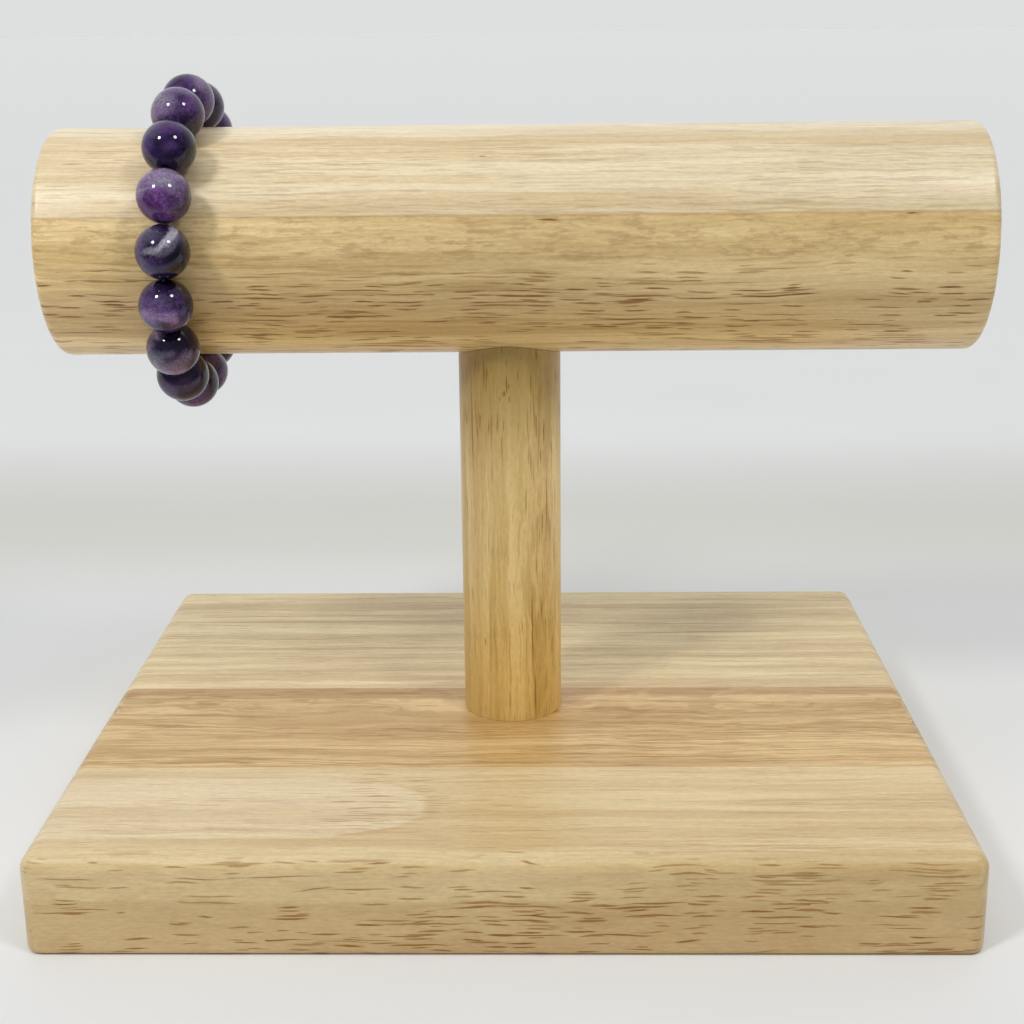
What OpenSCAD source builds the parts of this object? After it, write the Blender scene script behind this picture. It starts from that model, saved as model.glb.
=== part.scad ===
// Bracelet of round stone beads on an elastic thread, hung on a small wooden T-shaped stand.
// X runs along the crossbar, -Y is the front and Z is up. The origin lies in the plane of the
// board's underside, below the middle of the crossbar's length and halfway across the board's
// depth. All sizes are in millimetres.

/* [Bracelet] */
// Diameter of one bead
bead_d = 10; // [10:0.1:12]
// Number of beads on the loop
bead_count = 17; // [17:1:24]
// Space that each bead keeps from the next
bead_gap = 0.05; // [0.02:0.01:0.1]
// Diameter of the hole drilled through a bead
bead_hole_d = 1.3; // [1.3:0.1:2]
// Diameter of the elastic thread
thread_d = 0.7; // [0.4:0.1:0.7]
// Distance of the loop's top from the middle of the crossbar, to the left
bracelet_offset = 62.6; // [27:0.2:68]
// How far the loop swings out to the left below its top, in degrees
bracelet_lean = 1.9; // [0:0.1:3]
// How far the first bead has come round from the loop's top towards the front, in degrees
bracelet_turn = 1.4; // [0:0.1:21]

/* [Crossbar] */
// Diameter of the crossbar
bar_d = 44; // [34:0.5:44]
// Length of the crossbar
bar_len = 178.5; // [150:0.5:220]
// Height of the crossbar's axis over the board's top
bar_rise = 98.2; // [80:0.2:120]
// Rounding of the crossbar's end rims
bar_rim = 1.4; // [0.4:0.1:2]
// How far the crossbar and the post stand in front of the board's middle
bar_forward = 2; // [-5:0.5:5]

/* [Post] */
// Diameter of the upright post
post_d = 20.4; // [16:0.2:30]
// How far the post stands to the left of the crossbar's middle
post_shift = 1.4; // [-5:0.1:5]

/* [Board] */
// Length of the board, along the crossbar
board_w = 170; // [140:1:220]
// Depth of the board, from front to back
board_d = 142; // [100:1:160]
// Thickness of the board
board_t = 19; // [15:1:25]
// Rounding of the board's upright and top edges
board_round = 3; // [1.5:0.1:4]
// Rounding of the board's bottom edges
board_foot_round = 1.2; // [0.4:0.1:1.5]
// How far the board's middle lies to the left of the crossbar's middle
board_shift = 2.3; // [-5:0.1:5]

/* [Joinery] */
// Diameter of the hidden dowels at both ends of the post
dowel_d = 8; // [6:1:10]
// Length of one dowel, half of it in each of its two pieces
dowel_len = 24; // [16:1:26]

/* [Hidden] */
$fn = 96;
// Space between a dowel and its bore, at the side and at the end
dowel_gap = 0.1;
dowel_end_gap = 0.3;
dowel_chamfer = 0.8;
// Space at the glued joints, and between the loop's top and the crossbar
joint_gap = 0.05;
rest_gap = 0.1;
// Extra length that carries a cut clear of a face
overcut = 1;

bead_r = bead_d / 2;
bar_r = bar_d / 2;
bar_z = board_t + bar_rise;
bar_bottom_z = bar_z - bar_r;
// The bead centres lie on a regular polygon whose sides are one bead and one gap long
bead_step = 360 / bead_count;
loop_r = (bead_d + bead_gap) / (2 * sin(bead_step / 2));
// The thread wanders to both sides of the bead centres by the same amount
thread_loop_r = (loop_r + norm([loop_r, bead_r])) / 2;
loop_top_z = bar_z + bar_r + rest_gap + bead_r;

deep_violet = [0.16, 0.11, 0.28];
violet = [0.33, 0.22, 0.46];
lavender = [0.52, 0.41, 0.62];
bead_tones = [deep_violet, violet, deep_violet, lavender, deep_violet, violet];
maple = [0.83, 0.72, 0.53];
honey = [0.78, 0.65, 0.44];
birch = [0.86, 0.77, 0.6];

function bead_name(n) = str("bead_", n < 10 ? "0" : "", n);
function bead_tone(n) = bead_tones[(n - 1) % len(bead_tones)];

// Hangs its child, a loop about the X axis, over the crossbar
module hung() {
    translate([-bracelet_offset, -bar_forward, loop_top_z])
        rotate([0, bracelet_lean, 0])
            translate([0, 0, -loop_r])
                children();
}

// A round stone bead, drilled along the loop. The first is at the top, the next are down the front
module bead(n) {
    color(bead_tone(n))
        hung()
            rotate([bracelet_turn + (n - 1) * bead_step, 0, 0])
                translate([0, 0, loop_r])
                    difference() {
                        sphere(d = bead_d);
                        rotate([90, 0, 0])
                            cylinder(d = bead_hole_d, h = bead_d + 2 * overcut, center = true);
                    }
}

// The closed loop of elastic that runs through all the beads
module elastic_thread() {
    color("gainsboro")
        hung()
            rotate([0, 90, 0])
                rotate_extrude()
                    translate([thread_loop_r, 0])
                        circle(d = thread_d);
}

// Moves its child onto the post's axis, at a height
module at_post(z) {
    translate([-post_shift, -bar_forward, z])
        children();
}

// Bore for one half of a dowel, which enters upwards from z = 0
module dowel_bore() {
    translate([0, 0, -overcut])
        cylinder(d = dowel_d + 2 * dowel_gap, h = dowel_len / 2 + dowel_end_gap + overcut);
}

// A plain round dowel with chamfered ends, centred on the origin
module dowel() {
    color(birch)
        rotate_extrude()
            polygon([
                [0, -dowel_len / 2],
                [dowel_d / 2 - dowel_chamfer, -dowel_len / 2],
                [dowel_d / 2, -dowel_len / 2 + dowel_chamfer],
                [dowel_d / 2, dowel_len / 2 - dowel_chamfer],
                [dowel_d / 2 - dowel_chamfer, dowel_len / 2],
                [0, dowel_len / 2]
            ]);
}

module foot_dowel() {
    at_post(board_t)
        dowel();
}

module head_dowel() {
    at_post(bar_bottom_z)
        dowel();
}

// A round bar about the X axis with softened rims, bored from below for the head dowel
module crossbar() {
    color(maple)
        difference() {
            translate([0, -bar_forward, bar_z])
                rotate([0, 90, 0])
                    rotate_extrude()
                        bar_profile();
            at_post(bar_bottom_z)
                dowel_bore();
        }
}

// Half section of the crossbar, to the right of its axis
module bar_profile() {
    intersection() {
        rounded_rectangle([bar_d, bar_len], bar_rim);
        translate([0, -bar_len])
            square(2 * bar_len);
    }
}

// A round upright whose head is hollowed to fit the crossbar, bored at both ends for the dowels
module post() {
    color(honey)
        difference() {
            at_post(board_t + joint_gap)
                cylinder(d = post_d, h = bar_rise - joint_gap);
            at_post(bar_z)
                rotate([0, 90, 0])
                    cylinder(r = bar_r + joint_gap, h = post_d + 2 * overcut, center = true);
            at_post(bar_bottom_z)
                mirror([0, 0, 1])
                    dowel_bore();
            at_post(board_t)
                dowel_bore();
        }
}

// A solid board with rounded edges, bored from above for the foot dowel
module base_board() {
    color(maple)
        difference() {
            translate([-board_shift, 0, board_t / 2])
                rounded_block([board_w, board_d, board_t], board_round, board_foot_round);
            at_post(board_t)
                mirror([0, 0, 1])
                    dowel_bore();
        }
}

// A block about the origin whose twelve edges are rounded by three crossing sections
module rounded_block(size, r, foot_r) {
    intersection() {
        linear_extrude(size.z, center = true)
            rounded_rectangle([size.x, size.y], r);
        rotate([90, 0, 0])
            linear_extrude(size.y, center = true)
                upright_section([size.x, size.z], r, foot_r);
        rotate([90, 0, 90])
            linear_extrude(size.x, center = true)
                upright_section([size.y, size.z], r, foot_r);
    }
}

// A rectangle about the origin whose two bottom corners are rounded less than its top corners
module upright_section(size, r, foot_r) {
    intersection() {
        rounded_rectangle(size, foot_r);
        translate([0, -r])
            rounded_rectangle([size.x, size.y + 2 * r], r);
    }
}

// A rectangle about the origin with round corners
module rounded_rectangle(size, r) {
    reach = [size.x / 2 - r, size.y / 2 - r];
    square([size.x, 2 * reach.y], center = true);
    square([2 * reach.x, size.y], center = true);
    for (x = [-1, 1], y = [-1, 1])
        translate([x * reach.x, y * reach.y])
            circle(r = r);
}

base_board();
post();
crossbar();
foot_dowel();
head_dowel();
elastic_thread();
for (n = [1:bead_count])
    bead(n);
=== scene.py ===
import math

import bpy
from mathutils import Matrix, Vector


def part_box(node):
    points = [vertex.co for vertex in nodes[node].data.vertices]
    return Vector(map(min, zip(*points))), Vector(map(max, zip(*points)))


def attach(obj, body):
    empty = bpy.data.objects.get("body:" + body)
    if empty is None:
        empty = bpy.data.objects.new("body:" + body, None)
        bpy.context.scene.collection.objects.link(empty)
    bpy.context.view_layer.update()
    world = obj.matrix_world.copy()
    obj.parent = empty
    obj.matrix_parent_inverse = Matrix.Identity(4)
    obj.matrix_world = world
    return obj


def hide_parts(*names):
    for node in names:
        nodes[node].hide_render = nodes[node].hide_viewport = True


# A bracelet of round amethyst beads on elastic, hung on one arm of a small wooden T-bar stand.
# Metres, in the row frame: X along the bar, -Y the front, Z up. Patterns are worked out in millimetres.

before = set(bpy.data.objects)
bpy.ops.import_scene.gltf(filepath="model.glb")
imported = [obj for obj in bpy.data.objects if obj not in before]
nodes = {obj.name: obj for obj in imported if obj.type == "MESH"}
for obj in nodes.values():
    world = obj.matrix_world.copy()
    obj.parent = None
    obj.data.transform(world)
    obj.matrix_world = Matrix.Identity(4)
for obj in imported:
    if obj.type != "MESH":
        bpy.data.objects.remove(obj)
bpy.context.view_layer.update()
mm = 0.001
slack = 0.01 * mm  # for picking edges by where they lie


# Shader maths

class Wire:
    # one output socket; Python's operators on it add Math nodes

    def __init__(self, tree, socket):
        self.tree = tree
        self.socket = socket

    def node(self, kind, settings=None, values=None, out=0):
        # any other node: its type, its settings, then the values or links of its sockets
        made = self.tree.nodes.new(kind)
        for name, value in (settings or {}).items():
            setattr(made, name, value)
        for name, value in (values or {}).items():
            if isinstance(value, Wire):
                self.tree.links.new(value.socket, made.inputs[name])
            else:
                made.inputs[name].default_value = value
        return Wire(self.tree, made.outputs[out] if made.outputs else None)

    def maths(self, operation, *terms):
        return self.node("ShaderNodeMath", {"operation": operation}, dict(enumerate(terms)))

    def __add__(self, other):
        return self.maths("ADD", self, other)

    def __radd__(self, other):
        return self.maths("ADD", other, self)

    def __sub__(self, other):
        return self.maths("SUBTRACT", self, other)

    def __rsub__(self, other):
        return self.maths("SUBTRACT", other, self)

    def __mul__(self, other):
        return self.maths("MULTIPLY", self, other)

    def __rtruediv__(self, other):
        return self.maths("DIVIDE", other, self)

    def __abs__(self):
        return self.maths("ABSOLUTE", self)

    def __lt__(self, other):
        return self.maths("LESS_THAN", self, other)


def vectorMaths(operation, a, b):
    owner = a if isinstance(a, Wire) else b
    return owner.node("ShaderNodeVectorMath", {"operation": operation}, {0: a, 1: b})


def scaled(point, factor):
    return point.node("ShaderNodeVectorMath", {"operation": "SCALE"}, {0: point, "Scale": factor})


def lengthOf(point):
    return point.node("ShaderNodeVectorMath", {"operation": "LENGTH"}, {0: point}, 1)


def axisOf(point, axis):
    return point.node("ShaderNodeSeparateXYZ", {}, {0: point}, axis)


def joined(x, y, z):
    return x.node("ShaderNodeCombineXYZ", {}, {0: x, 1: y, 2: z})


def fade(value, low, high, top=1.0):
    # smooth step from 0 at low to the top at high, also where low is the larger one
    settings = {"interpolation_type": "SMOOTHSTEP"}
    ends = {"Value": value, "From Min": low, "From Max": high, "To Max": top}
    return value.node("ShaderNodeMapRange", settings, ends)


def noise(point, detail=2, rough=0.5, warp=0.0, out=0):
    values = {"Vector": point, "Scale": 1.0, "Detail": detail, "Roughness": rough, "Distortion": warp}
    return point.node("ShaderNodeTexNoise", {}, values, out)


def mixColour(factor, a, b, mode="MIX"):
    owner = next(x for x in (factor, a, b) if isinstance(x, Wire))
    a, b = (x if isinstance(x, Wire) else (*x, 1) for x in (a, b))
    return owner.node("ShaderNodeMix", {"data_type": "RGBA", "blend_type": mode}, {0: factor, 6: a, 7: b}, 2)


def placedOn(point, centre, turn, size):
    # the point as seen from a spot on the piece that is turned and scaled
    values = {"Vector": point, "Location": centre, "Rotation": turn, "Scale": size}
    return point.node("ShaderNodeMapping", {"vector_type": "TEXTURE"}, values)


def startMaterial(name):
    # a new material, and the place on the piece in millimetres
    material = bpy.data.materials.new(name)
    material.use_nodes = True
    tree = material.node_tree
    tree.nodes.clear()
    start = Wire(tree, None)
    return material, scaled(start.node("ShaderNodeTexCoord", out=3), 1 / mm)


def finishMaterial(material, colour, rough, constants, bump=None):
    # bump is a height in millimetres and how strongly it counts
    values = {"Base Color": colour, "Roughness": rough, **constants}
    if bump:
        height, strength = bump
        relief = {"Strength": strength, "Distance": mm, "Height": height}
        values["Normal"] = colour.node("ShaderNodeBump", {}, relief)
    shader = colour.node("ShaderNodeBsdfPrincipled", {}, values)
    colour.node("ShaderNodeOutputMaterial", {}, {"Surface": shader})
    return material


# Camera

cameraSizes = {
    "place": Vector((0.00545, -0.32649, 0.15756)),
    "lens": 57.73,
    "turn": math.radians(1.18),  # to the left
    "tilt": math.radians(16.52),  # downwards
    "roll": math.radians(-0.61),
}


def makeCamera(s):
    camera = bpy.data.objects.new("camera", bpy.data.cameras.new("camera"))
    bpy.context.scene.collection.objects.link(camera)
    camera.data.lens = s["lens"]
    camera.data.sensor_width = 36
    camera.data.clip_start = 0.01
    aim = Matrix.Rotation(s["turn"], 4, "Z") @ Matrix.Rotation(math.pi / 2 - s["tilt"], 4, "X")
    camera.matrix_world = Matrix.Translation(s["place"]) @ aim @ Matrix.Rotation(s["roll"], 4, "Z")
    bpy.context.scene.camera = camera


# Stage and lights

stageSizes = {
    "floorRadius": 40.0,
    "floorColour": (0.852, 0.865, 0.869),
    # painted shadow: the floor is darker just behind the stand
    "shadowColour": (0.79, 0.79, 0.75),  # of the floor just behind the stand
    "shadowFrom": (100, 180),
    # painted shade: the floor darkens towards the viewer
    "frontShadeColour": (0.68, 0.70, 0.72),  # of the floor towards the viewer
    "frontShadeFrom": (-60, -230),
    # light of the floor beyond the lamps' reach: a step, then a slow rise, and where they begin
    "farStep": 0.11,
    "farRise": 0.11,
    "farBegins": (195, 335),
    "riseBegins": 380,
    "skyColour": (0.73, 0.735, 0.735),
    "backLight": 0.84,  # brightness of the surroundings behind the object
    "frontLight": 0.15,  # and in front of it
    "brightens": (-0.2, 0.9),  # between these y of the direction one looks in
    # a dark sheet in front of the paper, seen only in reflections, where it paints a dark reflection: its
    # tone and half width, its near edge to the stand and its height over the paper, and between which y, in
    # millimetres, it turns dark
    "darkSheet": {
        "tone": (0.11, 0.11, 0.115), "reach": 20.0, "edge": -72 * mm, "lift": 0.5 * mm, "from": (-60, -185),
    },
    "lamps": [  # name, place, diameter, power
        ("leftLamp", Vector((-0.345, -0.400, 0.560)), 0.12, 1.50),
        ("rightLamp", Vector((0.241, -0.272, 0.521)), 0.12, 0.64),
    ],
    "window": {"towards": Vector((0.09, 1, -2.75)), "spread": math.radians(50), "strength": 0.82},
    "aim": Vector((0, 0, 0.08)),
}


def makeFloor(s):
    bpy.ops.object.select_all(action="DESELECT")
    bpy.ops.mesh.primitive_circle_add(vertices=96, radius=s["floorRadius"], fill_type="NGON")
    floor = bpy.context.object
    floor.name = "floor"
    material, place = startMaterial("paperFloor")
    distance = lengthOf(place)
    grain = noise(scaled(place, 0.02), 3)
    depth = axisOf(place, 1)
    far = fade(depth, *s["farBegins"])
    # painted shadow on the floor just behind the stand
    paintedShadow = fade(depth, *s["shadowFrom"]) * (1 - far)
    colour = mixColour(paintedShadow, s["floorColour"], s["shadowColour"])
    # painted shade: the floor darkens towards the viewer
    colour = mixColour(fade(depth, *s["frontShadeFrom"]), colour, s["frontShadeColour"])
    colour = scaled(colour, 0.985 + grain * 0.03)
    rise = distance.maths("MAXIMUM", 1 - s["riseBegins"] / distance, 0) * s["farRise"]
    light = far * s["farStep"] + rise
    glow = joined(light, light, light)
    constants = {"Specular IOR Level": 0.2, "Emission Color": glow, "Emission Strength": 1.0}
    floor.data.materials.append(finishMaterial(material, colour, 0.9 + grain * 0.05, constants))


def makeDarkSheet(s, paper):
    # painted dark reflection: it shows in reflections only, and takes no light from the stand
    bpy.ops.object.select_all(action="DESELECT")
    middle = (0, s["edge"] - s["reach"], s["lift"])
    bpy.ops.mesh.primitive_plane_add(size=2 * s["reach"], location=middle)
    darkSheet = bpy.context.object
    darkSheet.name = "darkSheet"
    bpy.ops.object.transform_apply(location=True, rotation=True, scale=True)
    material, place = startMaterial("darkSheetTop")
    colour = mixColour(fade(axisOf(place, 1), *s["from"]), paper, s["tone"])
    darkSheet.data.materials.append(finishMaterial(material, colour, 0.9, {"Specular IOR Level": 0.2}))
    darkSheet.visible_camera = False
    darkSheet.visible_diffuse = False
    darkSheet.visible_transmission = False
    darkSheet.visible_volume_scatter = False
    darkSheet.visible_shadow = False


def makeLamps(s):
    for name, place, width, power in s["lamps"]:
        light = bpy.data.lights.new(name, "AREA")
        light.shape = "DISK"
        light.size = width
        light.energy = power
        lamp = bpy.data.objects.new(name, light)
        bpy.context.scene.collection.objects.link(lamp)
        aim = (s["aim"] - place).to_track_quat("-Z", "Y")
        lamp.matrix_world = Matrix.Translation(place) @ aim.to_matrix().to_4x4()
        lamp.visible_camera = False
    # soft daylight from the front, which shines on everything alike and shows in no reflection
    daylight = bpy.data.lights.new("daylight", "SUN")
    daylight.angle = s["window"]["spread"]
    daylight.energy = s["window"]["strength"]
    window = bpy.data.objects.new("daylight", daylight)
    bpy.context.scene.collection.objects.link(window)
    window.matrix_world = s["window"]["towards"].to_track_quat("-Z", "Y").to_matrix().to_4x4()
    window.visible_glossy = False


def makeSurroundings(s):
    world = bpy.data.worlds.new("studio")
    bpy.context.scene.world = world
    world.use_nodes = True
    tree = world.node_tree
    tree.nodes.clear()
    start = Wire(tree, None)
    towards = start.node("ShaderNodeTexCoord", out=0)
    share = fade(axisOf(towards, 1), *s["brightens"])
    light = mixColour(share, (s["frontLight"],) * 3, (s["backLight"],) * 3)
    seen = start.node("ShaderNodeLightPath", out=0)
    colour = mixColour(seen, light, s["skyColour"])
    background = start.node("ShaderNodeBackground", {}, {"Color": colour})
    start.node("ShaderNodeOutputWorld", {}, {"Surface": background})
    bpy.context.scene.view_settings.view_transform = "Standard"


# Wood

def woodGrain(place, heart, wave):
    # where a point lies in the tree, in millimetres: along it, out from its heart, and around it.
    # The heart runs along X through the given y and z, and the rings wander by the given wave
    out = vectorMaths("MULTIPLY", vectorMaths("SUBTRACT", place, heart), (0, 1, 1))
    bend = noise(vectorMaths("MULTIPLY", place, (1 / 38, 1 / 16, 1 / 16)), 3, 0.62)
    wander = (bend - 0.5) * wave
    around = axisOf(out, 1).maths("ARCTAN2", axisOf(out, 1), axisOf(out, 2)) * 40
    return joined(axisOf(place, 0), lengthOf(out) + wander, around), wander


def stretched(grain, along, out, around):
    return vectorMaths("MULTIPLY", grain, (1 / along, 1 / out, 1 / around))


def pores(surface, length, width, size, chance):
    # short dark dashes: stretched cells of the surface's flat map, each with a spot of its own size
    cells = vectorMaths("DIVIDE", surface, (length, width, 1))
    uneven = noise(vectorMaths("MULTIPLY", cells, (5, 1.2, 1)), 1)
    spot = cells.node("ShaderNodeTexVoronoi", {"voronoi_dimensions": "2D"}, {"Vector": cells, "Scale": 1.0})
    luck = Wire(spot.tree, spot.socket.node.outputs["Color"])
    reach = (axisOf(luck, 1) * 0.65 + 0.35) * size
    depth = axisOf(luck, 2) * 0.4 + 0.6
    return fade(spot + (uneven - 0.5) * 0.2, reach, reach * 0.45) * (axisOf(luck, 0) < chance) * depth


def markOn(point, centre, reach, turn, strength):
    # a single lens-shaped streak
    return fade(lengthOf(placedOn(point, centre, turn, reach)), 1.0, 0.25, strength)


def strongest(masks):
    result = masks[0]
    for mask in masks[1:]:
        result = result.maths("MAXIMUM", result, mask)
    return result


def jiggled(place, amount):
    # a little unevenness for the edges of single streaks
    push = noise(vectorMaths("MULTIPLY", place, (1 / 4, 1 / 2, 1 / 2)), 3, 0.6, out=1)
    return vectorMaths("ADD", place, scaled(vectorMaths("SUBTRACT", push, (0.5, 0.5, 0.5)), amount))


def patternOf(place, across, heart, s):
    # the layers that all the woods share, each from 0 to 1; across is the way over the surface
    grain, wander = woodGrain(place, heart, s["wave"])
    surface = joined(axisOf(place, 0), across + wander, 0)
    thick = fade(noise(stretched(grain, 60, 7, 7), 1), 0.38, 0.62)
    lines = fade(noise(stretched(grain, s["lineLength"], s["lineWidth"], 6), 2, 0.6), 0.48, 0.68)
    fineLines = noise(stretched(grain, s["lineLength"] * 1.4, s["lineWidth"] * 0.6, 6), 1)
    length, width = s["pores"]
    shifted = vectorMaths("ADD", surface, (31, 17, 0))
    return {
        "bands": fade(noise(stretched(grain, 110, s["bandWidth"], 30), 3, 0.6), 0.36, 0.64),
        "lines": lines * (0.35 + thick * 0.65),
        "fineLines": fade(fineLines, 0.5, 0.64),
        "fibres": noise(stretched(place, 9, 0.3, 0.3), 2, 0.65),
        "speckle": noise(stretched(place, 1.7, 0.45, 0.45), 2, 0.7),
        "pores": pores(surface, length, width, 0.4, 0.2 + thick * 0.6),
        "longPores": pores(shifted, length * 2.4, width, 0.36, 0.15 + thick * 0.5),
    }


def finishWood(material, colour, pattern, dark, s):
    # dark holds the streaks and pores, which are also duller
    colour = mixColour(dark, colour, s["pore"])
    colour = scaled(colour, 0.68 + pattern["fibres"] * 0.26 + pattern["speckle"] * 0.38)
    rough = s["rough"] + pattern["fibres"] * 0.12 + dark * 0.15
    lacquer = {"IOR": 1.45, "Coat Weight": (1 - dark) * s["coat"], "Coat Roughness": 0.3}
    return finishMaterial(material, colour, rough, lacquer, (pattern["speckle"] * 0.03, 0.6))


boardLook = {
    "middle": -2.3,  # x of its middle
    "halfLength": 85,
    "top": 19,
    "frontFace": -71,
    "round": 3,
    # its three strips, front to back: y of the two joints, the tree's heart, light and dark tones
    "glueLines": (-33.9, 5.7),
    "hearts": ((0, -92, -14), (0, -80, 52), (0, 112, -32)),
    "stripTones": (
        ((0.80, 0.64, 0.37), (0.68, 0.505, 0.26)),
        ((0.81, 0.585, 0.28), (0.59, 0.38, 0.15)),
        ((0.935, 0.78, 0.45), (0.74, 0.565, 0.30)),
    ),
    "lineStrengths": (0.3, 1.0, 0.45),
    "fineStrengths": (0.12, 0.5, 0.18),
    "wave": 4.0,
    "bandWidth": 4.2,
    "lineLength": 34,
    "lineWidth": 0.6,
    "pores": (10, 0.75),
    "coat": 0.15,
    "jiggle": 0.7,
    # painted shade: the front face is tinted browner than the top
    "faceShadeTint": (0.98, 0.93, 0.83),  # the front face is a little browner than the top
    # along the back edge of the middle strip
    "brownBand": {"tone": (0.45, 0.25, 0.095), "width": 4, "strength": 0.55},
    "streak": (0.44, 0.25, 0.075),
    "pore": (0.30, 0.125, 0.010),
    "rough": 0.36,
    "tongue": {"tone": (0.84, 0.70, 0.46), "centre": (-42, -51, 19), "reach": (26, 12.3, 7)},
    "beyond": {"from": (-36, -14), "strength": 0.45},  # past the tongue's tip the strip is darker
    "tip": {"centre": (-26, -48, 19), "reach": 16, "strength": 0.5},  # dashes at the tongue's tip
    "lowZone": {"tone": (0.60, 0.42, 0.21), "height": 10.7, "strength": 0.5},  # low on the front face
    "dashes": {"top": 0.25, "middleStrip": 0.2, "frontFace": 0.5, "lowZone": 0.25},  # their strengths
    # single streaks on the top: x, y, half length, half width, turn in degrees, strength
    "topStreaks": [
        (-54, 47.5, 52, 0.55, 0.4, 0.55), (44, 56.4, 32, 0.9, -1, 0.4), (42, 39.7, 32, 0.8, 1.5, 0.5),
        (-40, 30, 36, 0.5, 1, 0.35), (-26, 0.9, 48, 1.0, 0.2, 0.5), (39, -2.2, 36, 0.6, -1.6, 0.5),
        (-24, -21.3, 26, 0.5, 1.5, 0.35), (0, -31.9, 21, 0.35, 0.5, 0.7), (-45, -33.2, 32, 0.4, 0.2, 0.5),
        (-2.1, -50.7, 3, 0.3, 4, 0.6), (20, -44.1, 23, 0.35, -0.6, 0.35), (53, -48.4, 23, 0.9, 1.5, 0.4),
        (48, -53.6, 12, 0.4, 2, 0.5), (20, -59, 13, 0.35, 3, 0.35), (-57, -60, 16, 0.4, 1.5, 0.35),
        (0, -68.3, 3, 0.35, -6, 0.8), (50, -67, 12, 0.4, 1.5, 0.5), (62, -40, 14, 0.4, 3, 0.4),
    ],
    # and on the front face: x, z, half length, half width, turn, strength
    "frontStreaks": [
        (-73.7, 18, 1.4, 0.22, 2, 0.9), (-69.5, 13.5, 2.5, 0.2, 4, 0.8), (-41.5, 15.6, 9.5, 0.2, 2, 0.7),
        (-39.6, 9.7, 2.6, 0.3, 5, 0.9), (-35, 13.2, 5, 0.22, 6, 0.7), (-54.5, 7.8, 1.9, 0.25, -3, 0.9),
        (-23.7, 17.9, 3, 0.25, 3, 1.0), (2.4, 18, 2.6, 0.25, -8, 0.9), (2.1, 13.5, 2, 0.25, -2, 0.9),
        (-7, 9.7, 6.4, 0.3, 4, 0.9), (-12, 7.8, 4.6, 0.25, 0, 1.0), (-16, 6.4, 12, 0.25, 0, 0.8),
        (-24.4, 10.2, 3.7, 0.25, 2, 0.7), (4, 8.3, 2.3, 0.25, 10, 0.9), (11.3, 10.9, 3.1, 0.25, 6, 0.9),
        (20.9, 13.3, 4.9, 0.2, 2, 0.7), (43.4, 15.6, 3.2, 0.22, -3, 0.8), (51.7, 10.9, 5.2, 0.28, -4, 0.8),
        (55.2, 8.6, 2.4, 0.25, -3, 0.9), (54.1, 6, 5, 0.2, 0, 0.7), (68.6, 8, 2.7, 0.22, -3, 0.7),
        (47.4, 4.8, 3.4, 0.22, 0, 0.8),
    ],
}


def perStrip(values, toMiddle, toBack):
    # one value for each strip of the board, front to back
    front, middle, back = values
    return front + toMiddle * (middle - front) + toBack * (back - middle)


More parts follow.
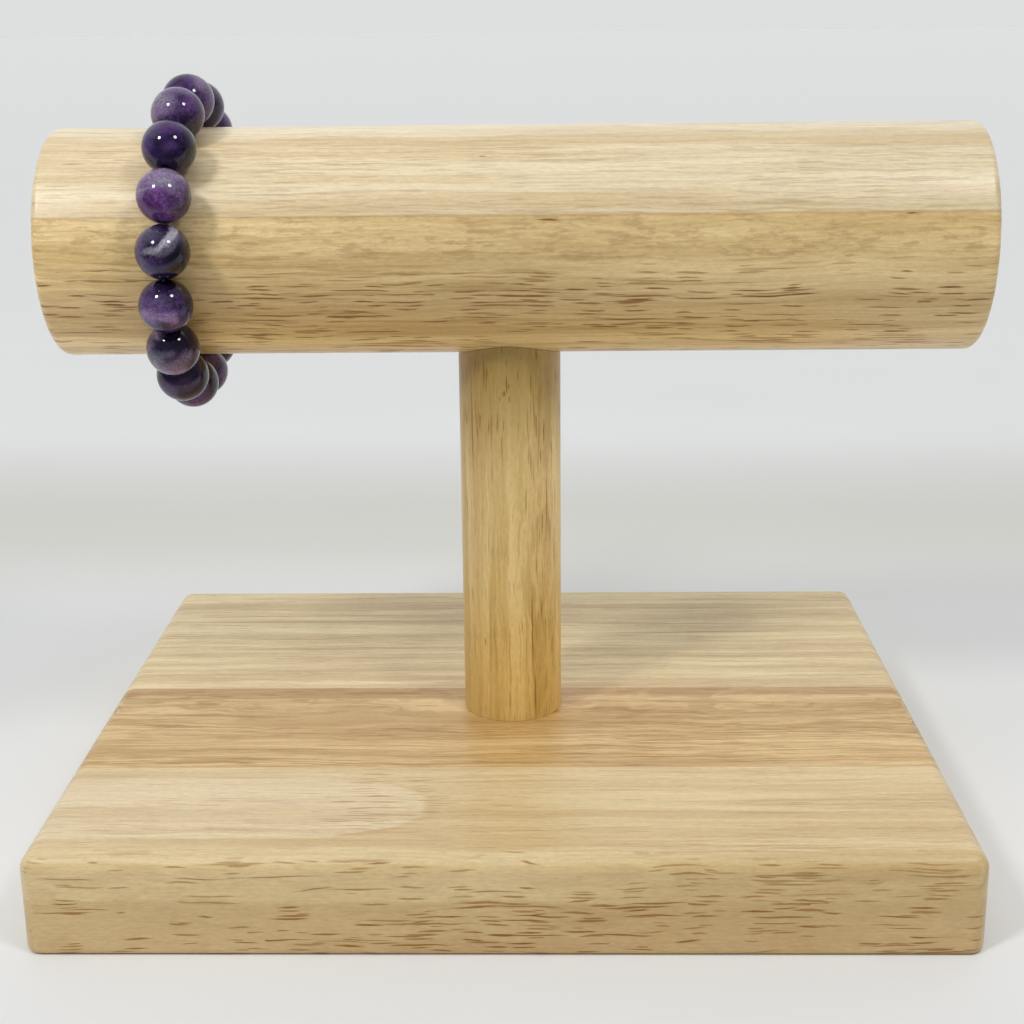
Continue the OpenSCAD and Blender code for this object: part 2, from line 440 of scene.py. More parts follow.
def boardWood(s):
    material, place = startMaterial("boardWood")
    x = axisOf(place, 0)
    y = axisOf(place, 1)
    z = axisOf(place, 2)
    frontJoint, backJoint = s["glueLines"]
    toMiddle = fade(y, frontJoint - 0.1, frontJoint + 0.1)
    toBack = fade(y, backJoint - 0.1, backJoint + 0.1)
    heart = mixColour(toBack, mixColour(toMiddle, *s["hearts"][:2]), s["hearts"][2])
    # the way back over the top and down the front face, the same all along the board
    across = y.maths("MAXIMUM", y, s["frontFace"] + s["round"]) + z
    pattern = patternOf(place, across, heart, s)
    front, middle, back = [mixColour(pattern["bands"], *pair) for pair in s["stripTones"]]
    uneven = (noise(vectorMaths("MULTIPLY", place, (1 / 14, 1 / 5, 1 / 5)), 2) - 0.5) * 0.16

    # the front strip: a pale tongue of grain on top, and a darker zone low on the front face
    tongue = s["tongue"]
    offset = vectorMaths("SUBTRACT", place, tongue["centre"])
    ahead = axisOf(offset, 0).maths("MAXIMUM", axisOf(offset, 0), 0)
    sideways = vectorMaths("DIVIDE", joined(ahead, axisOf(offset, 1), axisOf(offset, 2)), tongue["reach"])
    rim = lengthOf(sideways) + uneven
    past = s["beyond"]
    beyond = fade(rim, 2.1, 1.0) * fade(x, *past["from"]) * past["strength"]
    front = mixColour(beyond, front, s["stripTones"][0][1])
    front = mixColour(fade(rim, 1.03, 0.95) * (0.75 - pattern["bands"] * 0.3), front, tongue["tone"])
    rimLine = fade(abs(rim - 1.04), 0.09, 0.0) * (0.08 + pattern["lines"] * 0.3)
    lowZone = s["lowZone"]
    low = fade(z + uneven * 14, lowZone["height"] + 0.8, lowZone["height"] - 0.8)
    front = mixColour(low * lowZone["strength"], front, lowZone["tone"])

    band = s["brownBand"]
    bandEdge = backJoint - band["width"]
    inBand = fade(y + uneven * 6, bandEdge - 0.6, bandEdge + 0.6, band["strength"])
    middle = mixColour(inBand, middle, band["tone"])

    colour = mixColour(toBack, mixColour(toMiddle, front, middle), back)
    joints = strongest([fade(abs(y - joint), 0.35, 0.05) for joint in s["glueLines"]])
    loose = jiggled(place, s["jiggle"])
    topStreaks = strongest([
        markOn(loose, (mx, my, s["top"]), (half, width, 3), (0, 0, math.radians(turn)), strength)
        for mx, my, half, width, turn, strength in s["topStreaks"]])
    frontStreaks = strongest([
        markOn(loose, (mx, s["frontFace"], mz), (half, 2, width), (0, math.radians(-turn), 0), strength)
        for mx, mz, half, width, turn, strength in s["frontStreaks"]])
    lines = pattern["lines"] * perStrip(s["lineStrengths"], toMiddle, toBack)
    fineLines = pattern["fineLines"] * perStrip(s["fineStrengths"], toMiddle, toBack)
    colour = mixColour(strongest([lines, fineLines]), colour, s["streak"])
    colour = mixColour(strongest([topStreaks, joints * 0.3, rimLine * (1 - toMiddle)]), colour, s["streak"])
    onFront = fade(y, s["frontFace"] + 1.6, s["frontFace"] + 0.2)
    # painted shade: the front face is tinted browner than the top
    colour = mixColour(onFront, colour, s["faceShadeTint"], "MULTIPLY")

    # the dashes fade out at the board's two ends
    within = fade(abs(x - s["middle"]), s["halfLength"], s["halfLength"] - 2)
    tip = s["tip"]
    atTip = fade(lengthOf(vectorMaths("SUBTRACT", place, tip["centre"])), tip["reach"], 5, tip["strength"])
    share = s["dashes"]
    onStrips = share["top"] + atTip + (toMiddle - toBack) * share["middleStrip"]
    shown = (onStrips + onFront * (share["frontFace"] + low * share["lowZone"])) * within
    dashes = strongest([pattern["pores"], pattern["longPores"]]) * shown
    return finishWood(material, colour, pattern, strongest([dashes, frontStreaks]), s)


barLook = {
    "glueHeight": 124.2,  # where its two halves are glued
    "axis": (-2, 117.2),  # y and z
    "radius": 22,
    "halfLength": 89.2,
    "hearts": ((0, 30, 62), (0, -4, 178)),
    "wave": 3.4,
    "bandWidth": 3.4,
    "lineLength": 32,
    "lineWidth": 0.65,
    "pores": (10, 0.8),
    "coat": 0.55,
    "upper": ((0.90, 0.765, 0.515), (0.76, 0.595, 0.345)),
    "lower": ((0.91, 0.695, 0.35), (0.735, 0.525, 0.23)),
    "darkZone": {"tone": (0.54, 0.34, 0.135), "low": 101.4, "high": 109.6, "strength": 0.33},
    "flecks": {"tone": (0.50, 0.33, 0.14), "low": 115.5, "strength": 0.55},  # from here to the glue line
    "dashes": {"all": 0.22, "under": 0.68, "from": (117, 110)},  # their strengths, with more low down
    "lineStrengths": {"lower": 0.55, "upper": 0.35, "fine": 0.18},
    # painted shade: the lower half is darker in its middle
    "lowerLight": 0.93,  # brightness of the lower half in its middle
    # painted shade: how much the tones change for each millimetre along the bar
    "shadeAlongBar": {"zone": 0.0012, "ends": 0.0015, "lower": 0.0008, "upper": 0.0009},
    "jiggle": 0.5,
    "streak": (0.43, 0.24, 0.06),
    "pore": (0.23, 0.08, 0.0),
    "rough": 0.32,
    # single streaks along its front: x, z, half length, half width, turn in degrees, strength
    "frontStreaks": [
        (-82.1, 133.6, 3, 0.2, 0, 0.6), (-72.7, 134.2, 3, 0.2, 0, 0.5), (-76.9, 114.7, 4, 0.22, 1, 0.7),
        (-82.2, 112.8, 2.2, 0.2, 0, 0.7), (-71, 112.7, 2.2, 0.22, 0, 0.8), (-81.6, 109.9, 2.4, 0.28, 0, 0.9),
        (-75.4, 108.7, 4, 0.28, 0, 0.95), (-75, 106.8, 2.8, 0.25, 1, 0.7), (-84, 105.6, 4, 0.3, 0, 0.8),
        (-81.8, 102.1, 9, 0.3, 0.5, 0.6), (6.4, 123.3, 3.3, 0.3, 0, 0.9), (-5.8, 134.3, 1, 0.25, 4, 0.7),
        (4.8, 112.1, 4, 0.2, 1, 0.7), (-7.4, 110.3, 3.6, 0.2, 0, 0.6), (2.4, 109.2, 7.4, 0.25, 1, 0.85),
        (-0.6, 108.1, 10, 0.22, 1, 0.7), (-6.6, 105.8, 4.4, 0.25, 0, 0.7), (4.6, 106.2, 2.4, 0.2, 2, 0.7),
        (-5.9, 104.9, 6, 0.22, 0, 0.8), (4.6, 103.6, 4, 0.22, 0, 0.7), (72.6, 124, 1.6, 0.25, -3, 0.9),
        (84.7, 114.4, 2.8, 0.2, 0, 0.6), (72.2, 113.5, 1.6, 0.25, 0, 0.8), (75.1, 109.4, 2.8, 0.25, 0, 0.8),
        (80.6, 110.4, 3.4, 0.32, 1.5, 1.0), (77.3, 108, 2.2, 0.22, 1, 0.7), (84, 105.1, 4.2, 0.28, 0.5, 0.9),
        (85.2, 103.1, 3.2, 0.25, 1, 0.7), (-40, 111.5, 5, 0.25, 0.5, 0.7), (-30, 106, 7, 0.25, -0.5, 0.7),
        (-52, 104.5, 6, 0.25, 0.5, 0.7), (35, 108.5, 6, 0.25, 0.5, 0.8), (50, 105, 8, 0.25, -0.5, 0.7),
    ],
}


def barWood(s):
    material, place = startMaterial("barWood")
    x = axisOf(place, 0)
    z = axisOf(place, 2)
    upper = fade(z, s["glueHeight"] - 0.12, s["glueHeight"] + 0.12)
    middleY, middleZ = s["axis"]
    forward = axisOf(place, 1) - middleY
    over = forward.maths("ARCTAN2", forward, z - middleZ) * s["radius"]
    pattern = patternOf(place, over, mixColour(upper, *s["hearts"]), s)
    lowerHalf, upperHalf = [mixColour(pattern["bands"], *s[name]) for name in ("lower", "upper")]

    # the lower half has a darker zone low on the front, and flecks under the glue line
    zone = s["darkZone"]
    wavy = z + (noise(vectorMaths("MULTIPLY", place, (1 / 30, 1 / 4, 1 / 4)), 2) - 0.5) * 5
    overLow = fade(wavy, zone["low"] - 0.8, zone["low"] + 0.8)
    underHigh = fade(wavy, zone["high"] + 2, zone["high"] - 1)
    along = s["shadeAlongBar"]
    # painted shade: the dark zone is stronger towards the left and fades towards the right
    inZone = overLow * underHigh * (zone["strength"] - x * along["zone"])
    lowerHalf = mixColour(inZone, lowerHalf, zone["tone"])
    flecks = s["flecks"]
    inFlecks = fade(noise(stretched(place, 5, 1.3, 1.3), 3, 0.7), 0.48, 0.66, flecks["strength"])
    inFlecks = inFlecks * fade(wavy, flecks["low"] - 2, flecks["low"] + 2)
    lowerHalf = mixColour(inFlecks, lowerHalf, flecks["tone"])
    # painted shade: the lower half is paler towards its ends, and both halves are darker towards the right
    lowerHalf = scaled(lowerHalf, s["lowerLight"] + abs(x) * along["ends"] - x * along["lower"])
    colour = mixColour(upper, lowerHalf, scaled(upperHalf, 1 - x * along["upper"]))

    loose = jiggled(place, s["jiggle"])
    streaks = []
    for middle, height, half, width, turn, strength in s["frontStreaks"]:
        rise = height - middleZ
        centre = (middle, middleY - math.sqrt(s["radius"] ** 2 - rise ** 2), height)
        # the streak lies along the round surface, so it stands as the surface does there
        lean = math.asin(rise / s["radius"])
        streaks.append(markOn(loose, centre, (half, 2, width), (-lean, math.radians(-turn), 0), strength))
    joint = fade(abs(z + (pattern["bands"] - 0.5) * 0.3 - s["glueHeight"]), 0.45, 0.05)
    joint = joint * (0.25 + pattern["fibres"] * 0.4)
    strengths = s["lineStrengths"]
    lines = pattern["lines"] * (strengths["lower"] - upper * (strengths["lower"] - strengths["upper"]))
    lines = strongest([lines, pattern["fineLines"] * strengths["fine"]])
    colour = mixColour(strongest([lines, joint]), colour, s["streak"])

    # the bar's end faces bear no dashes
    share = s["dashes"]
    shown = share["all"] + fade(wavy, *share["from"]) * share["under"]
    onSide = fade(abs(x), s["halfLength"], s["halfLength"] - 0.8)
    dashes = strongest([pattern["pores"], pattern["longPores"]]) * shown * onSide
    return finishWood(material, colour, pattern, strongest([dashes, *streaks]), s)


postLook = {
    "axis": (-1.4, -2),  # x and y
    "radius": 10.2,
    "heart": (0, 26, -20),
    "wave": 2.8,
    "bandWidth": 3.0,
    "lineLength": 30,
    "lineWidth": 0.6,
    "pores": (9, 0.7),
    "coat": 0.25,
    "tones": ((0.87, 0.67, 0.32), (0.70, 0.50, 0.20)),
    # its head, dark with painted shade under the bar, and its foot: tone, strength, and the heights from
    # where and to where it grows
    "head": {"tone": (0.38, 0.25, 0.06), "strength": 0.85, "from": (66, 94)},
    "foot": {"tone": (0.76, 0.49, 0.115), "strength": 0.6, "from": (62, 24)},
    "dashes": {"all": 0.28, "head": 0.5},  # their strengths
    "lineStrengths": {"broad": 0.5, "fine": 0.15},
    "streakStrength": 0.85,
    # painted light: the post gets brighter towards its right side
    "light": 1.10,  # brightness in its middle
    "paintedLightToRight": 0.017,  # and its rise for each millimetre to the right
    "jiggle": 0.35,
    "streak": (0.43, 0.23, 0.025),
    "pore": (0.25, 0.105, 0.0),
    "rough": 0.36,
    # single streaks along its front: x, z, half length, half width, lean in degrees, strength
    "frontStreaks": [
        (-8.8, 81.5, 13, 0.3, 0.5, 0.85), (-5.6, 92.3, 2, 0.2, 0, 0.8), (-9.9, 82.7, 1.8, 0.25, 0, 0.95),
        (-7.8, 80.3, 1.8, 0.25, 0, 0.75), (-5.4, 81.6, 2, 0.2, 0, 0.75), (-2.7, 97.2, 1.2, 0.3, 0, 0.6),
        (4, 96, 1.9, 0.25, 0, 0.95), (5.4, 80.2, 3.6, 0.3, -1, 0.9), (4.6, 87, 7, 0.8, -1, 0.35),
        (4.7, 75.4, 1.8, 0.2, 0, 0.85), (6.9, 76.2, 2.6, 0.2, 0, 0.7), (2.8, 74.2, 5, 0.22, 3, 0.55),
        (1.8, 66.2, 4.4, 0.25, -0.5, 0.65), (5.9, 65.5, 9, 0.28, 0, 0.75), (5, 61.5, 3, 0.25, 0, 0.8),
        (-10.1, 63.5, 5, 0.22, 0, 0.6), (7.4, 54.4, 5, 0.25, 0, 0.8), (3.8, 52.6, 3.2, 0.4, 0, 0.5),
        (2.9, 38, 14, 0.25, 0.6, 0.85), (3.4, 25, 7, 0.3, 0.8, 0.85), (-9.3, 45.6, 2.6, 0.22, 2, 0.75),
        (4.8, 43, 3.2, 0.22, 0, 0.8), (5.6, 39.8, 1.4, 0.22, 0, 0.7), (6.9, 34.3, 3.4, 0.3, 0, 0.75),
        (-6.8, 36, 1.4, 0.22, 4, 0.7), (-5.7, 36, 17, 0.5, 0, 0.35), (4.9, 34, 18, 1.5, 0, 0.06),
        (-2.3, 88.4, 0.8, 0.45, 0, 0.8), (-1.4, 89.9, 0.8, 0.22, 3, 0.8), (-3.2, 87.3, 0.7, 0.2, -4, 0.7),
        (-1.3, 87.3, 0.8, 0.22, 4, 0.7), (-1.8, 94.6, 1.2, 0.2, 0, 0.6), (0.4, 92, 1.4, 0.25, 0, 0.6),
        (-1.8, 23.3, 3.4, 0.3, 0, 0.5), (0.8, 40, 2.4, 0.2, 3, 0.5), (6.2, 84, 17, 1.7, -1, 0.25),
    ],
}


def postWood(s):
    material, place = startMaterial("postWood")
    upright = joined(axisOf(place, 2), axisOf(place, 1), axisOf(place, 0))
    middleX, middleY = s["axis"]
    side = axisOf(place, 0) - middleX
    around = side.maths("ARCTAN2", side, middleY - axisOf(place, 1)) * s["radius"]
    pattern = patternOf(upright, around, s["heart"], s)
    z = axisOf(place, 2)
    colour = mixColour(pattern["bands"], *s["tones"])
    # painted shade: the head's dark tone stands for the shade under the bar
    for end in (s["foot"], s["head"]):
        colour = mixColour(fade(z, *end["from"], end["strength"]), colour, end["tone"])
    # painted light: brighter towards the post's right side
    colour = scaled(colour, side * s["paintedLightToRight"] + s["light"])
    loose = jiggled(place, s["jiggle"])
    streaks = []
    for x, height, half, width, lean, strength in s["frontStreaks"]:
        aside = x - middleX
        centre = (x, middleY - math.sqrt(s["radius"] ** 2 - aside ** 2), height)
        # turned about the post's axis, to lie along its round surface
        turn = (0, math.radians(-lean), math.asin(aside / s["radius"]))
        streaks.append(markOn(loose, centre, (width, 1.5, half), turn, strength))
    strengths = s["lineStrengths"]
    lines = strongest([pattern["lines"] * strengths["broad"], pattern["fineLines"] * strengths["fine"]])
    colour = mixColour(lines, colour, s["streak"])
    share = s["dashes"]
    shown = fade(z, *s["head"]["from"], share["head"]) + share["all"]
    dashes = strongest([pattern["pores"], pattern["longPores"]]) * shown
    marks = strongest([dashes, strongest(streaks) * s["streakStrength"]])
    return finishWood(material, colour, pattern, marks, s)


def bevelEdges(piece, test, width, segments):
    # rounds the edges whose two ends pass the test
    points = piece.data.vertices
    for face in piece.data.polygons:
        face.select = False
    for point in points:
        point.select = False
    for edge in piece.data.edges:
        edge.select = test(*(points[i].co for i in edge.vertices))
    bpy.context.tool_settings.mesh_select_mode = (False, True, False)
    bpy.ops.object.mode_set(mode="EDIT")
    bpy.ops.mesh.bevel(offset=width, segments=segments)
    bpy.ops.object.mode_set(mode="OBJECT")


boardSizes = {
    "round": 3 * mm,  # of its upright and top edges
    "footRound": 1.2 * mm,  # of its bottom edges
    "segments": 8,
    "boreGap": 0.1 * mm,  # between the foot dowel and its bore, at the side
    "boreEnd": 0.3 * mm,  # and at the end
}


def makeBoard(s, material):
    print("shaping the board")
    low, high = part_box("base_board")
    bpy.ops.object.select_all(action="DESELECT")
    bpy.ops.mesh.primitive_cube_add(size=1, location=(low + high) / 2, scale=high - low)
    board = bpy.context.object
    board.name = "boardBlock"
    bpy.ops.object.transform_apply(location=True, rotation=True, scale=True)
    bevelEdges(board, lambda a, b: max(a.z, b.z) > low.z + mm, s["round"], s["segments"])
    bevelEdges(board, lambda a, b: max(a.z, b.z) < low.z + slack, s["footRound"], s["segments"] // 2)
    # the bore for the foot dowel
    dowelLow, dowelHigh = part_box("foot_dowel")
    middle = (dowelLow + dowelHigh) / 2
    foot = dowelLow.z - s["boreEnd"]
    depth = 2 * (high.z - foot)
    bpy.ops.object.select_all(action="DESELECT")
    bpy.ops.mesh.primitive_cylinder_add(
        vertices=64, radius=(dowelHigh - dowelLow).x / 2 + s["boreGap"], depth=depth,
        location=(middle.x, middle.y, foot + depth / 2))
    drill = bpy.context.object
    bpy.context.view_layer.objects.active = board
    cut = board.modifiers.new("bore", "BOOLEAN")
    cut.operation = "DIFFERENCE"
    cut.object = drill
    bpy.ops.object.modifier_apply(modifier=cut.name)
    bpy.data.objects.remove(drill)
    bpy.ops.object.select_all(action="DESELECT")
    board.select_set(True)
    bpy.ops.object.shade_smooth_by_angle(angle=math.radians(35))
    weighted = board.modifiers.new("flatFaces", "WEIGHTED_NORMAL")
    weighted.keep_sharp = True
    bpy.ops.object.modifier_apply(modifier=weighted.name)
    board.data.materials.clear()
    board.data.materials.append(material)
    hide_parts("base_board")
    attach(board, "root")


dowelLook = {"tones": ((0.72, 0.60, 0.42), (0.6, 0.46, 0.28)), "rough": 0.6}


def dowelWood(s):
    material, place = startMaterial("dowelWood")
    upright = joined(axisOf(place, 2), axisOf(place, 1), axisOf(place, 0))
    fibres = noise(stretched(upright, 15, 0.4, 0.4), 3)
    colour = mixColour(fibres, *s["tones"])
    return finishMaterial(material, colour, s["rough"] + fibres * 0.1, {"IOR": 1.45}, (fibres * 0.03, 0.4))


# Beads

tones = {
    "ink": (0.006, 0.003, 0.016),
    "night": (0.020, 0.010, 0.048),
    "indigo": (0.030, 0.013, 0.082),
    "dusk": (0.048, 0.033, 0.080),
    "plum": (0.075, 0.036, 0.090),
    "violet": (0.095, 0.046, 0.170),
    "purple": (0.125, 0.052, 0.200),
    "grape": (0.085, 0.015, 0.120),
    "orchid": (0.165, 0.065, 0.240),
    "heather": (0.140, 0.092, 0.205),
    "lilac": (0.240, 0.170, 0.300),
    "mauve": (0.270, 0.170, 0.335),
    "mist": (0.270, 0.245, 0.320),
    "frost": (0.400, 0.380, 0.460),
    "smoke": (0.095, 0.078, 0.140),
    "ash": (0.145, 0.135, 0.180),
    "rose": (0.140, 0.088, 0.150),
}

# one row for each bead, from the top of the loop down the front: its body tone, and the clouds in it.
# A cloud is a tone, its strength, where it lies on the bead's outer side (across and up, in bead radii),
# how far it reaches across and up, and its tilt in degrees. It runs deep into the stone
# painted shade: on the front beads, the wide ink and night clouds at the right edge, across about 1, darken
# their right sides
beadLooks = [
    ("violet", [
        ("night", 0.8, -0.3, 0.9, 0.8, 0.35, 0), ("lilac", 0.8, 0.5, 0.5, 0.4, 0.6, 30),
        ("heather", 0.7, 0.8, 0.2, 0.4, 0.5, 0)]),
    ("violet", [
        ("mist", 0.9, -0.75, 0.5, 0.9, 0.75, 20), ("lilac", 0.8, -0.7, 0.05, 0.75, 0.4, 0),
        ("heather", 0.8, 0.0, 0.85, 1.1, 0.4, 0), ("purple", 0.5, 0.4, 0.3, 0.6, 0.4, 0),
        ("night", 0.5, 0.1, 0.5, 0.35, 0.25, 0), ("ink", 0.97, 0.5, -0.85, 2.0, 0.98, 0),
        ("night", 0.9, 1.2, 0.15, 0.75, 1.3, 0)]),
    ("indigo", [
        ("smoke", 1.0, -0.6, 0.6, 0.8, 0.55, 30), ("violet", 0.7, 0.05, 0.62, 0.8, 0.35, 0),
        ("heather", 0.7, 0.6, 0.8, 0.4, 0.25, -40), ("violet", 0.6, -0.85, 0.05, 0.4, 0.5, 0),
        ("ink", 0.97, 1.1, -0.2, 1.05, 1.3, 0), ("ink", 0.5, -0.1, -0.7, 1.4, 0.6, 0),
        ("ink", 0.6, -0.35, 0.15, 0.35, 0.25, 0), ("violet", 0.5, 0.0, -0.05, 0.36, 0.3, 0)]),
    ("orchid", [
        ("lilac", 1.0, -0.05, 0.8, 1.6, 0.8, 0), ("mist", 0.7, 0.0, 0.48, 0.6, 0.28, 0),
        ("lilac", 0.8, -0.85, 0.2, 0.35, 0.35, 0), ("lilac", 0.6, 0.45, 0.15, 0.5, 0.3, 0),
        ("grape", 0.7, -0.5, -0.5, 0.7, 0.5, 0), ("mist", 0.7, -0.65, 0.24, 0.6, 0.09, 3),
        ("night", 0.97, 0.95, -0.68, 1.15, 1.05, 30), ("night", 0.9, 1.15, 0.1, 0.55, 1.0, 0)]),
    ("night", [
        ("smoke", 0.8, -0.5, 0.62, 0.7, 0.45, 0), ("indigo", 0.8, 0.75, 0.5, 0.4, 0.4, 0),
        ("heather", 0.6, -0.8, 0.2, 0.35, 0.5, 0), ("heather", 0.45, -0.7, -0.4, 0.42, 0.42, 0),
        ("indigo", 1.0, -0.2, -0.6, 0.8, 0.5, 0), ("violet", 0.5, -0.25, -0.28, 0.45, 0.24, 0),
        ("ink", 1.0, 0.88, -0.5, 1.35, 1.3, 0), ("ash", 0.8, 0.38, 0.25, 0.5, 0.26, 45),
        ("ash", 0.7, 0.0, -0.02, 0.35, 0.2, 20), ("mist", 0.75, -0.4, 0.08, 0.42, 0.16, 20),
        ("frost", 0.9, 0.17, 0.4, 0.85, 0.21, 42), ("frost", 0.9, 0.38, 0.64, 0.36, 0.28, 50)]),
    ("violet", [
        ("heather", 0.6, -0.35, 0.05, 0.8, 0.4, 0), ("heather", 0.6, 0.15, 0.3, 0.4, 0.25, 0),
        ("ink", 0.97, 0.62, 0.92, 1.8, 1.15, 0), ("ink", 0.97, 1.2, -0.1, 0.95, 1.5, 0),
        ("night", 0.5, 0.0, 0.52, 0.5, 0.22, 0), ("mauve", 1.0, -0.15, -0.45, 1.0, 0.26, -8),
        ("mauve", 0.8, -0.75, -0.2, 0.35, 0.25, 0), ("mauve", 0.7, 0.25, -0.45, 0.4, 0.4, 0),
        ("night", 0.95, -0.35, -0.92, 0.9, 0.42, 0), ("indigo", 0.9, 0.72, -0.45, 0.45, 0.5, 0)]),
    ("night", [
        ("lilac", 0.8, -0.62, 0.55, 0.5, 0.3, 10), ("rose", 0.8, -0.9, 0.2, 0.42, 0.45, 0),
        ("ink", 0.97, 0.75, 0.5, 1.25, 1.2, 0), ("ash", 0.9, -0.75, -0.42, 0.75, 0.5, 0),
        ("ash", 0.6, -0.15, -0.22, 0.45, 0.22, 0), ("plum", 0.8, -0.1, -0.5, 0.5, 0.3, 0),
        ("rose", 1.0, 0.3, -0.5, 0.72, 0.32, 42), ("lilac", 0.95, 0.0, -0.92, 1.2, 0.45, 0),
        ("mist", 0.8, -0.7, -0.72, 0.5, 0.3, -40)]),
    ("night", [
        ("plum", 0.6, 0.1, -0.25, 0.7, 0.35, 0), ("indigo", 0.8, 0.2, -0.85, 0.9, 0.35, 0),
        ("violet", 0.5, -0.6, -0.6, 0.5, 0.4, 0), ("ink", 0.8, 0.95, 0.2, 0.6, 0.9, 0)]),
    ("night", [
        ("violet", 0.95, 0.1, -0.65, 0.95, 0.5, 0), ("dusk", 0.6, -0.5, -0.3, 0.6, 0.4, 0),
        ("plum", 0.5, -0.3, 0.2, 0.7, 0.4, 0)]),
    ("violet", [
        ("mist", 0.6, 0.4, 0.3, 0.7, 0.3, 30), ("indigo", 0.7, -0.4, -0.5, 0.7, 0.5, 0),
        ("lilac", 0.5, -0.5, 0.5, 0.4, 0.3, -20)]),
    ("indigo", [
        ("lilac", 0.6, -0.3, 0.0, 0.7, 0.2, 25), ("ink", 0.6, 0.5, 0.6, 0.6, 0.4, 0),
        ("smoke", 0.5, 0.4, -0.6, 0.6, 0.4, 0)]),
    ("purple", [
        ("lilac", 0.8, 0.1, -0.6, 1.0, 0.7, 8), ("grape", 0.7, 0.3, 0.4, 0.6, 0.5, 0),
        ("mist", 0.4, -0.4, 0.0, 0.5, 0.12, -12)]),
    ("ink", [
        ("violet", 0.6, -0.2, 0.3, 0.6, 0.4, 15), ("smoke", 0.7, 0.2, -0.7, 1.0, 0.5, 0)]),
    ("purple", [
        ("lilac", 0.85, 0.0, 0.6, 1.0, 0.6, -5), ("frost", 0.5, 0.2, 0.1, 0.6, 0.12, 8),
        ("indigo", 0.7, -0.5, -0.6, 0.6, 0.5, 0)]),
    ("indigo", [
        ("mist", 0.7, 0.1, 0.1, 0.9, 0.18, -30), ("violet", 0.5, -0.5, 0.5, 0.5, 0.4, 0),
        ("ink", 0.6, 0.6, -0.6, 0.6, 0.5, 0)]),
    ("violet", [
        ("ink", 0.6, 0.1, 0.8, 0.9, 0.4, 0), ("lilac", 0.6, 0.0, -0.4, 0.7, 0.2, 10),
        ("purple", 0.6, 0.5, 0.1, 0.5, 0.4, 0)]),
    ("indigo", [
        ("smoke", 0.6, -0.5, 0.5, 0.6, 0.5, 0), ("violet", 0.6, 0.4, -0.3, 0.6, 0.4, 0)]),
]

beadSizes = {
    "segments": 64,
    "rings": 48,
    "holeRings": 2,  # rings of faces around each pole that the drill takes away
    "lip": 0.06 * mm,
    "lipSegments": 3,
    "frontTurn": math.radians(12.8),  # how the outer side of the front beads faces
    "frontTilt": math.radians(-9),
    "frontCount": 9,  # the beads of the front half, the others show their clouds to the back
}

quartz = {
    "IOR": 1.54, "Subsurface Weight": 0.06,
    "Subsurface Radius": (1.0, 0.7, 1.2), "Subsurface Scale": 0.5 * mm,
}


def beadStone(name, centre, radius, turn, bodyTone, clouds, seed):
    material, place = startMaterial(name)
    ball = placedOn(place, centre / mm, turn, (radius / mm,) * 3)
    stone = vectorMaths("ADD", ball, (seed * 3.7, seed * 1.3, seed * 2.9))
    drift = noise(scaled(stone, 1.3), 4, 0.6, out=1)
    bent = vectorMaths("ADD", ball, scaled(vectorMaths("SUBTRACT", drift, (0.5, 0.5, 0.5)), 0.5))
    swirl = noise(scaled(stone, 2.0), 5, 0.62, 0.5)
    mottle = noise(scaled(stone, 5.5), 4, 0.7, 0.3)
    body = tones[bodyTone]
    colour = mixColour(fade(swirl, 0.32, 0.68), tuple(x * 0.45 for x in body), body)
    for tone, strength, across, up, wide, tall, tilt in clouds:
        inside = placedOn(bent, (across, -1, up), (0, math.radians(-tilt), 0), (wide, 4, tall))
        within = fade(lengthOf(inside) + (mottle - 0.5) * 1.1, 1.0, 0.25)
        colour = mixColour(within * strength, colour, tones[tone])
    specks = fade(noise(scaled(stone, 13.0), 3, 0.75), 0.34, 0.66)
    colour = scaled(colour, (0.1 + mottle * 1.8) * (0.68 + specks * 0.64))
    return finishMaterial(material, colour, 0.03 + swirl * 0.05, quartz)


def pickFaces(piece, test):
    for face in piece.data.polygons:
        face.select = test(face.center)
    for edge in piece.data.edges:
        edge.select = False
    for point in piece.data.vertices:
        point.select = False


def modelBead(s, radius):
    print("modelling the bead")
    bpy.ops.object.select_all(action="DESELECT")
    bpy.ops.mesh.primitive_uv_sphere_add(segments=s["segments"], ring_count=s["rings"], radius=radius)
    bead = bpy.context.object
    holeAngle = math.pi * s["holeRings"] / s["rings"]
    mouth = radius * math.cos(holeAngle)
    # the bore: both caps go, and a wall joins their two rims
    pickFaces(bead, lambda centre: abs(centre.z) > mouth)
    bpy.ops.object.mode_set(mode="EDIT")
    bpy.ops.mesh.select_mode(type="FACE")
    bpy.ops.mesh.delete(type="FACE")
    bpy.ops.mesh.select_mode(type="EDGE")
    bpy.ops.mesh.select_all(action="DESELECT")
    bpy.ops.mesh.select_non_manifold()
    bpy.ops.mesh.bridge_edge_loops()
    bpy.ops.mesh.select_all(action="SELECT")
    bpy.ops.mesh.normals_make_consistent(inside=False)
    bpy.ops.object.mode_set(mode="OBJECT")
    # the two mouths of the bore get a small lip
    bevelEdges(bead, lambda a, b: min(abs(a.z), abs(b.z)) > mouth - slack, s["lip"], s["lipSegments"])
    bpy.ops.object.shade_smooth_by_angle(angle=math.radians(50))
    return bead


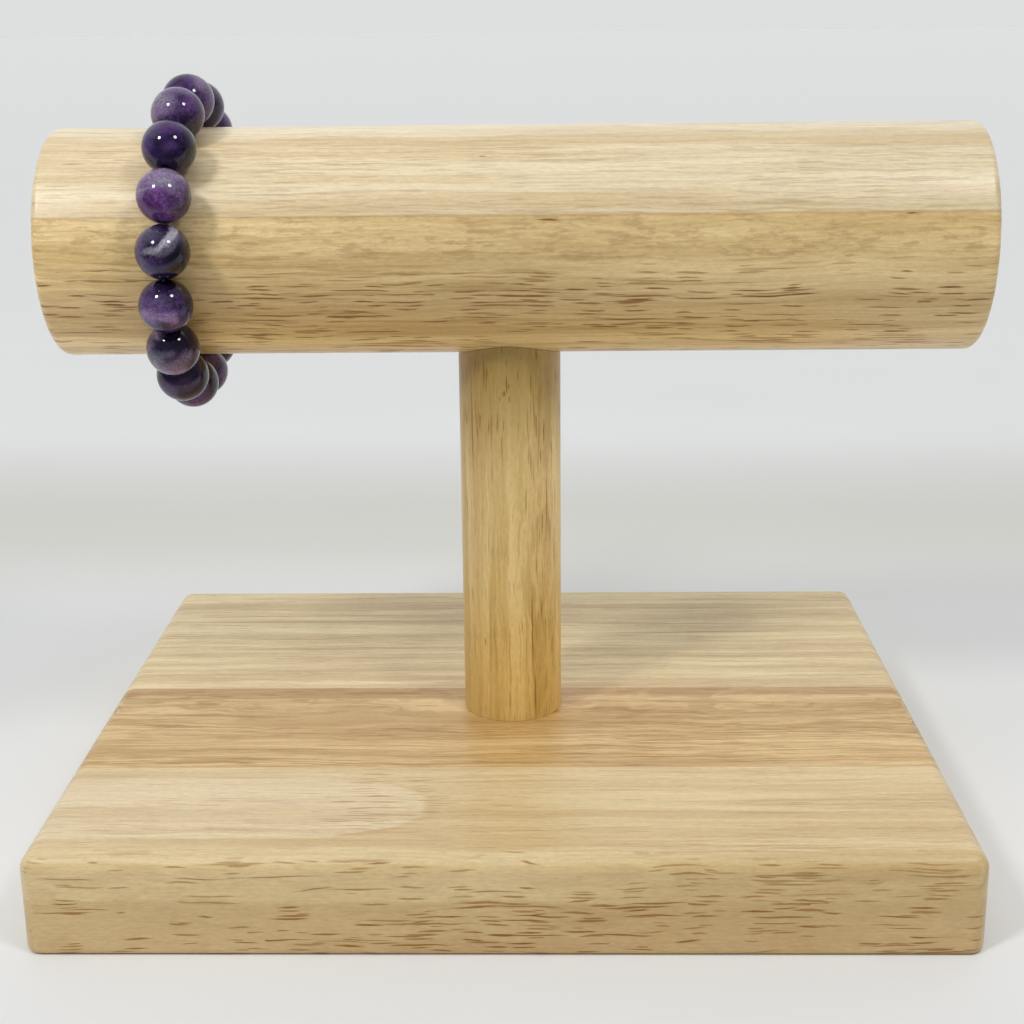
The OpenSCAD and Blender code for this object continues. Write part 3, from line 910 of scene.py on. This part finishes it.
def makeBeads(s, looks):
    names = sorted(name for name in nodes if name.startswith("bead_"))
    boxes = [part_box(name) for name in names]
    centres = [(low + high) / 2 for low, high in boxes]
    radius = (boxes[0][1] - boxes[0][0]).x / 2
    master = modelBead(s, radius)
    count = len(names)
    for i, name in enumerate(names):
        along = centres[(i + 1) % count] - centres[i - 1]
        bead = master.copy()
        bead.data = master.data.copy()
        bead.name = "stone" + name[-2:]
        bpy.context.scene.collection.objects.link(bead)
        turn = along.to_track_quat("Z", "X").to_matrix().to_4x4()
        bead.data.transform(Matrix.Translation(centres[i]) @ turn)
        bodyTone, clouds = looks[i]
        facing = (s["frontTilt"], 0, s["frontTurn"]) if i < s["frontCount"] else (0, 0, math.pi)
        stone = beadStone("amethyst" + name[-2:], centres[i], radius, facing, bodyTone, clouds, i + 1)
        bead.data.materials.append(stone)
        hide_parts(name)
        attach(bead, "root")
    bpy.data.objects.remove(master)
    return centres


# Elastic

threadSizes = {
    "diameter": 0.7 * mm,
    "bend": 0.8 * mm,  # how far from its corner a bend begins
    "tones": ((0.30, 0.28, 0.33), (0.20, 0.19, 0.23)),
}

clearElastic = {"IOR": 1.5, "Transmission Weight": 0.9}


def makeThread(s, centres):
    print("threading the elastic")
    count = len(centres)
    middle = sum(centres, Vector()) / count
    loopRadius = (centres[0] - middle).length
    half = math.pi / count
    # each corner lies where the bores of two neighbouring beads would meet
    between = [(centres[i] + centres[i - 1]) / 2 for i in range(count)]
    corners = [middle + (point - middle) / math.cos(half) ** 2 for point in between]
    bpy.ops.object.select_all(action="DESELECT")
    bpy.ops.mesh.primitive_circle_add(vertices=count, radius=loopRadius)
    thread = bpy.context.object
    thread.name = "elasticThread"
    for point, corner in zip(thread.data.vertices, corners):
        point.co = corner
    bpy.ops.object.mode_set(mode="EDIT")
    bpy.ops.mesh.select_all(action="SELECT")
    bpy.ops.mesh.bevel(affect="VERTICES", offset=s["bend"], segments=4)
    bpy.ops.object.mode_set(mode="OBJECT")
    bpy.ops.object.convert(target="CURVE")
    thread.data.bevel_depth = s["diameter"] / 2
    thread.data.bevel_resolution = 3
    bpy.ops.object.convert(target="MESH")
    bpy.ops.object.shade_smooth()
    material, place = startMaterial("clearElastic")
    haze = noise(scaled(place, 1.5), 2)
    colour = mixColour(haze, *s["tones"])
    thread.data.materials.append(finishMaterial(material, colour, 0.15 + haze * 0.15, clearElastic))
    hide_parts("elastic_thread")
    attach(thread, "root")


def paint(name, material):
    mesh = nodes[name].data
    mesh.materials.clear()
    mesh.materials.append(material)


print("camera and stage")
makeCamera(cameraSizes)
makeFloor(stageSizes)
makeDarkSheet(stageSizes["darkSheet"], stageSizes["floorColour"])
makeLamps(stageSizes)
makeSurroundings(stageSizes)

print("wood")
makeBoard(boardSizes, boardWood(boardLook))
paint("crossbar", barWood(barLook))
paint("post", postWood(postLook))
birch = dowelWood(dowelLook)
paint("foot_dowel", birch)
paint("head_dowel", birch)

print("beads")
beadCentres = makeBeads(beadSizes, beadLooks)
makeThread(threadSizes, beadCentres)
